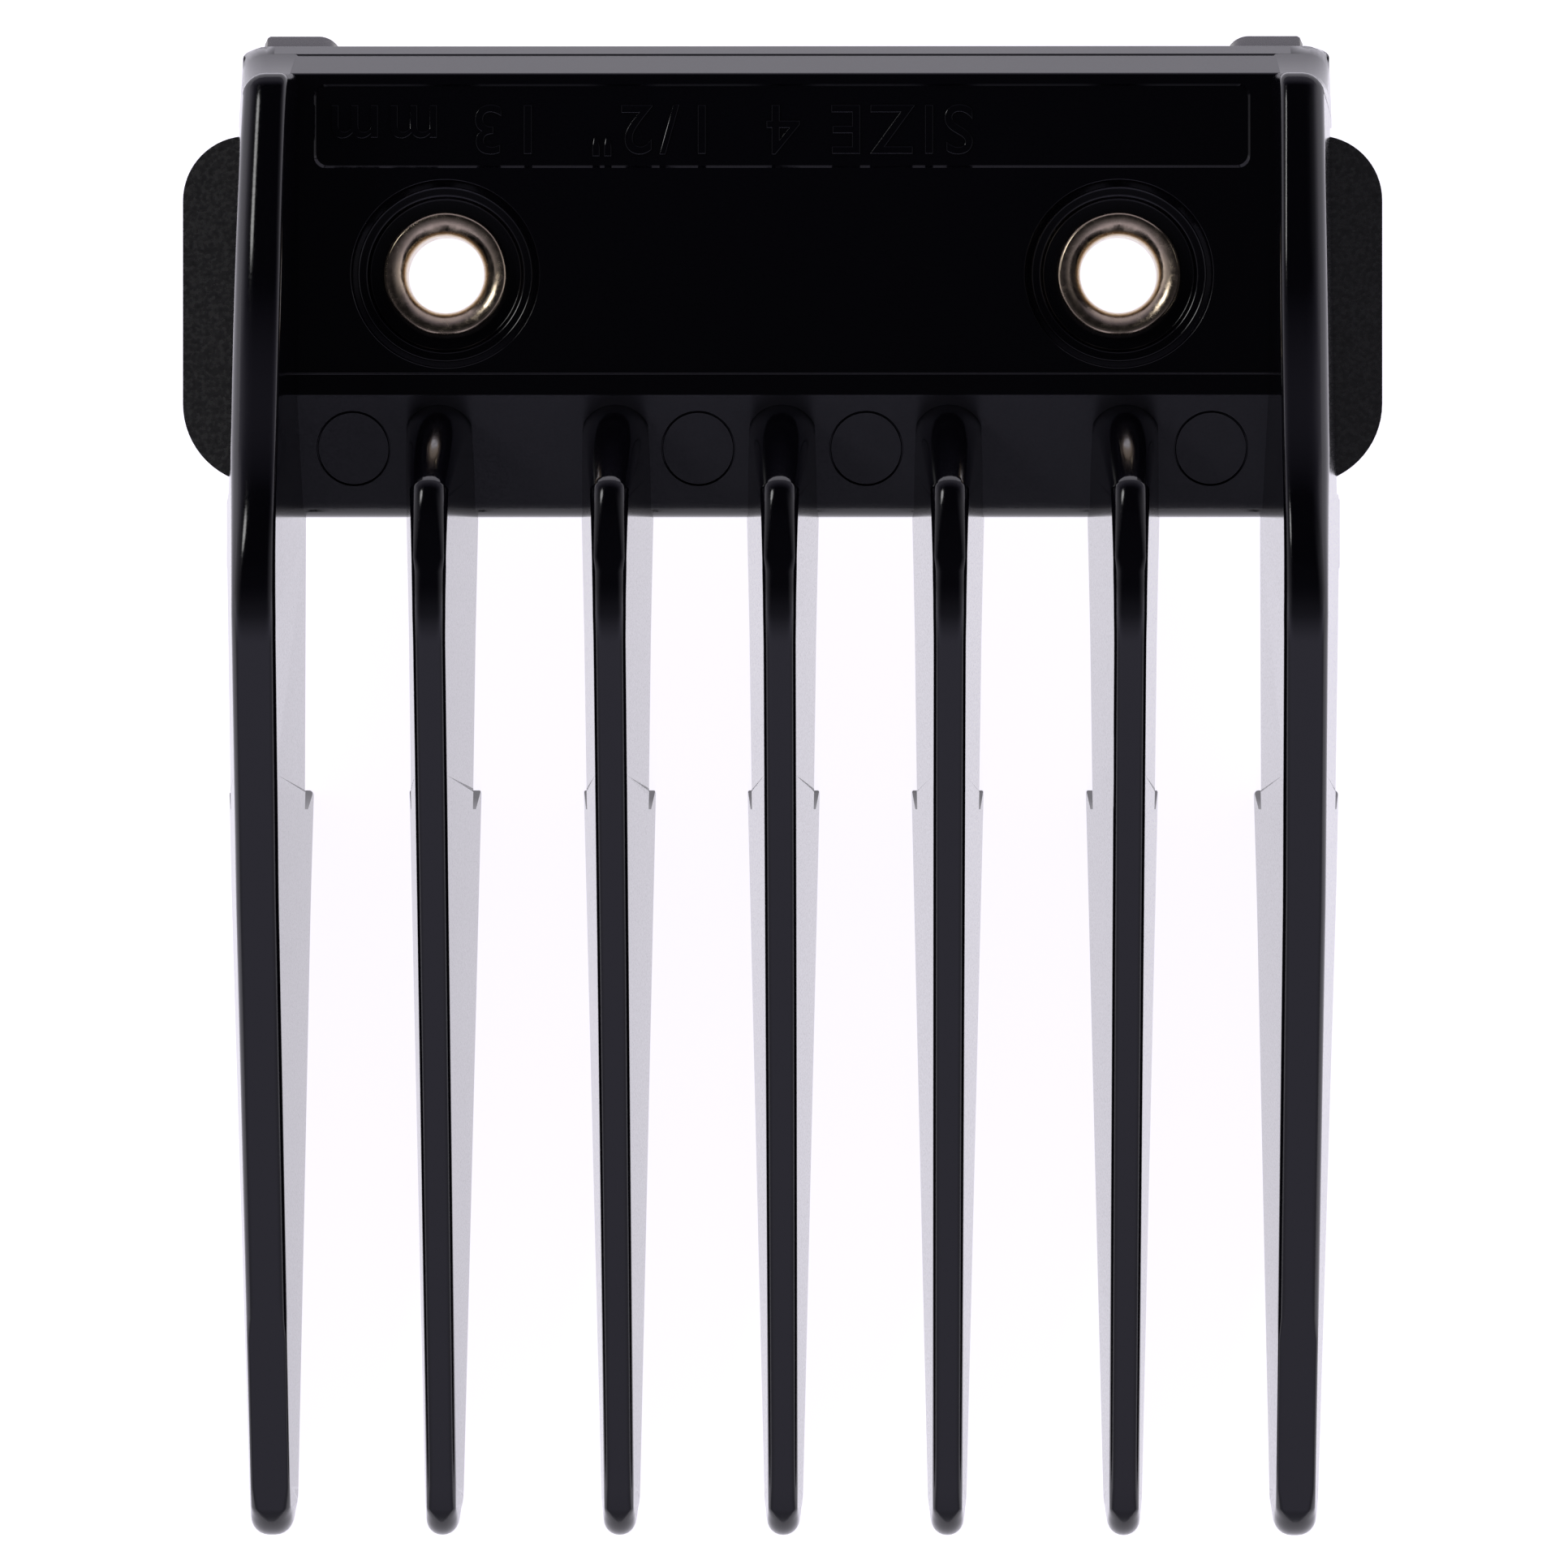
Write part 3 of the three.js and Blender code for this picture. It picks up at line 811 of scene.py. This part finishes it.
# ---- Stage ----
def pale_floor():
    bm = bmesh.new()
    bmesh.ops.create_grid(bm, x_segments=1, y_segments=1, size=1.5)
    mesh = bpy.data.meshes.new("floor")
    bm.to_mesh(mesh)
    bm.free()
    floor = bpy.data.objects.new("floor", mesh)
    floor.location.z = -FLOOR_GAP * MM  # clear of the faces that stand on it
    bpy.context.scene.collection.objects.link(floor)
    material, _, _, shader = node_material("pale_floor")
    shader.inputs["Base Color"].default_value = (0.8, 0.8, 0.82, 1)
    shader.inputs["Roughness"].default_value = 0.9
    shader.inputs["Emission Color"].default_value = (1.0, 0.97, 1.06, 1)
    shader.inputs["Emission Strength"].default_value = 0.95
    mesh.materials.append(material)


def falloff(nodes, links, source, stops):
    """A colour ramp of radiance along source, from (degrees, red, green, blue) stops.

    The degrees run from the zenith at 0 to the horizon at 90, or at -90 the other way.
    """
    scaled = map_range(nodes, links, source, -math.pi / 2, math.pi / 2, 0, 1)
    ramp = nodes.new("ShaderNodeValToRGB")
    while len(ramp.color_ramp.elements) < len(stops):
        ramp.color_ramp.elements.new(0.5)
    for element, (degrees, *colour) in zip(ramp.color_ramp.elements, stops):
        element.position = (degrees + 90) / 180
        element.color = (*colour, 1)
    links.new(scaled.outputs["Result"], ramp.inputs["Fac"])
    return ramp


def tilt(nodes, links, across, up):
    """Angle of a direction from the zenith, in the plane of across and up."""
    made = nodes.new("ShaderNodeMath")
    made.operation = "ARCTAN2"
    links.new(across, made.inputs[0])
    links.new(up, made.inputs[1])
    return made.outputs["Value"]


def small_lamp(nodes, links, coordinates):
    """One small bright lamp high on the left, behind."""
    facing = nodes.new("ShaderNodeVectorMath")
    facing.operation = "DOT_PRODUCT"
    facing.inputs[1].default_value = Vector((-0.54, 0.33, 0.77)).normalized()
    links.new(coordinates.outputs["Generated"], facing.inputs[0])
    inner, outer = math.cos(math.radians(5)), math.cos(math.radians(9))
    return map_range(nodes, links, facing.outputs["Value"], outer, inner, 0, 7)


def added(nodes, links, first, second):
    made = nodes.new("ShaderNodeVectorMath")
    links.new(first, made.inputs[0])
    links.new(second, made.inputs[1])
    return made.outputs["Vector"]


def studio_light():
    """A soft surround: dark overhead, grey in front and behind, white low at the sides."""
    world = bpy.data.worlds.new("soft_surround")
    bpy.context.scene.world = world
    world.use_nodes = True
    nodes, links = world.node_tree.nodes, world.node_tree.links
    background = nodes["Background"]
    coordinates = nodes.new("ShaderNodeTexCoord")
    split = nodes.new("ShaderNodeSeparateXYZ")
    links.new(coordinates.outputs["Generated"], split.inputs["Vector"])
    x, y, z = split.outputs["X"], split.outputs["Y"], split.outputs["Z"]
    front_to_back = falloff(nodes, links, tilt(nodes, links, y, z), [
        (-90, 0.8, 0.78, 0.9),
        (-78, 0.42, 0.41, 0.5),
        (-66, 0.38, 0.37, 0.46),
        (-50, 0.58, 0.56, 0.72),
        (-42, 0.56, 0.54, 0.7),
        (-24, 0.17, 0.165, 0.21),
        (-8, 0.06, 0.058, 0.07),
        (0, 0.03, 0.029, 0.036),
        (5, 0.012, 0.012, 0.014),
        (34, 0.012, 0.012, 0.014),
        (50, 0.18, 0.17, 0.23),
        (65, 0.44, 0.42, 0.52),
        (90, 0.54, 0.51, 0.64),
    ])
    side_to_side = falloff(nodes, links, tilt(nodes, links, x, z), [
        (-90, 1, 0.97, 1),
        (-75, 0.8, 0.78, 0.86),
        (-57, 0.36, 0.35, 0.4),
        (-32, 0.05, 0.049, 0.056),
        (-22, 0, 0, 0),
        (22, 0, 0, 0),
        (32, 0.05, 0.049, 0.056),
        (57, 0.36, 0.35, 0.4),
        (75, 0.8, 0.78, 0.86),
        (90, 1, 0.97, 1),
    ])
    across = nodes.new("ShaderNodeMath")
    across.operation = "ABSOLUTE"
    links.new(y, across.inputs[0])
    beside = map_range(nodes, links, across.outputs["Value"], 0.15, 0.5, 1, 0)
    sides = nodes.new("ShaderNodeVectorMath")
    sides.operation = "SCALE"
    links.new(side_to_side.outputs["Color"], sides.inputs[0])
    links.new(beside.outputs["Result"], sides.inputs["Scale"])
    both = added(nodes, links, front_to_back.outputs["Color"], sides.outputs["Vector"])
    lamp = small_lamp(nodes, links, coordinates)
    links.new(added(nodes, links, both, lamp.outputs["Result"]), background.inputs["Color"])
    bpy.context.scene.view_settings.view_transform = "Standard"


def camera():
    """Straight above the comb and a little to its right."""
    data = bpy.data.cameras.new("camera")
    data.lens = 282.9
    made = bpy.data.objects.new("camera", data)
    bpy.context.scene.collection.objects.link(made)
    made.location = (CAMERA_X * MM, 0, CAMERA_Z * MM)
    made.rotation_euler = (0, math.atan((CAMERA_X - CAMERA_AIM_X) / CAMERA_DROP), 0)
    bpy.context.scene.camera = made


# ---- The model ----
camera()
pale_floor()
studio_light()

nylon, steel, nickel = nylon_material(), steel_material(), nickel_material()

comb = new_piece(comb_body(), nylon, 38)
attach(comb, "comb")
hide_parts("comb_body")

marks = [size_mark(text, x) for text, x in MARKS]
for number, mark in enumerate(marks):
    piece = new_piece(mark, nylon, 30)
    piece.name = f"size_mark_{number + 1}"
    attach(piece, "comb")

clip = new_piece(spring_clip(), steel, 30)
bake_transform(clip)
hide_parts("clip_plate", "clip_lip")

for name, x in (("eyelet_left", -EYELET_X), ("eyelet_right", EYELET_X)):
    piece = new_piece(eyelet(f"{name}_rolled", x), nickel, 40)
    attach(piece, "comb")
    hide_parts(name)
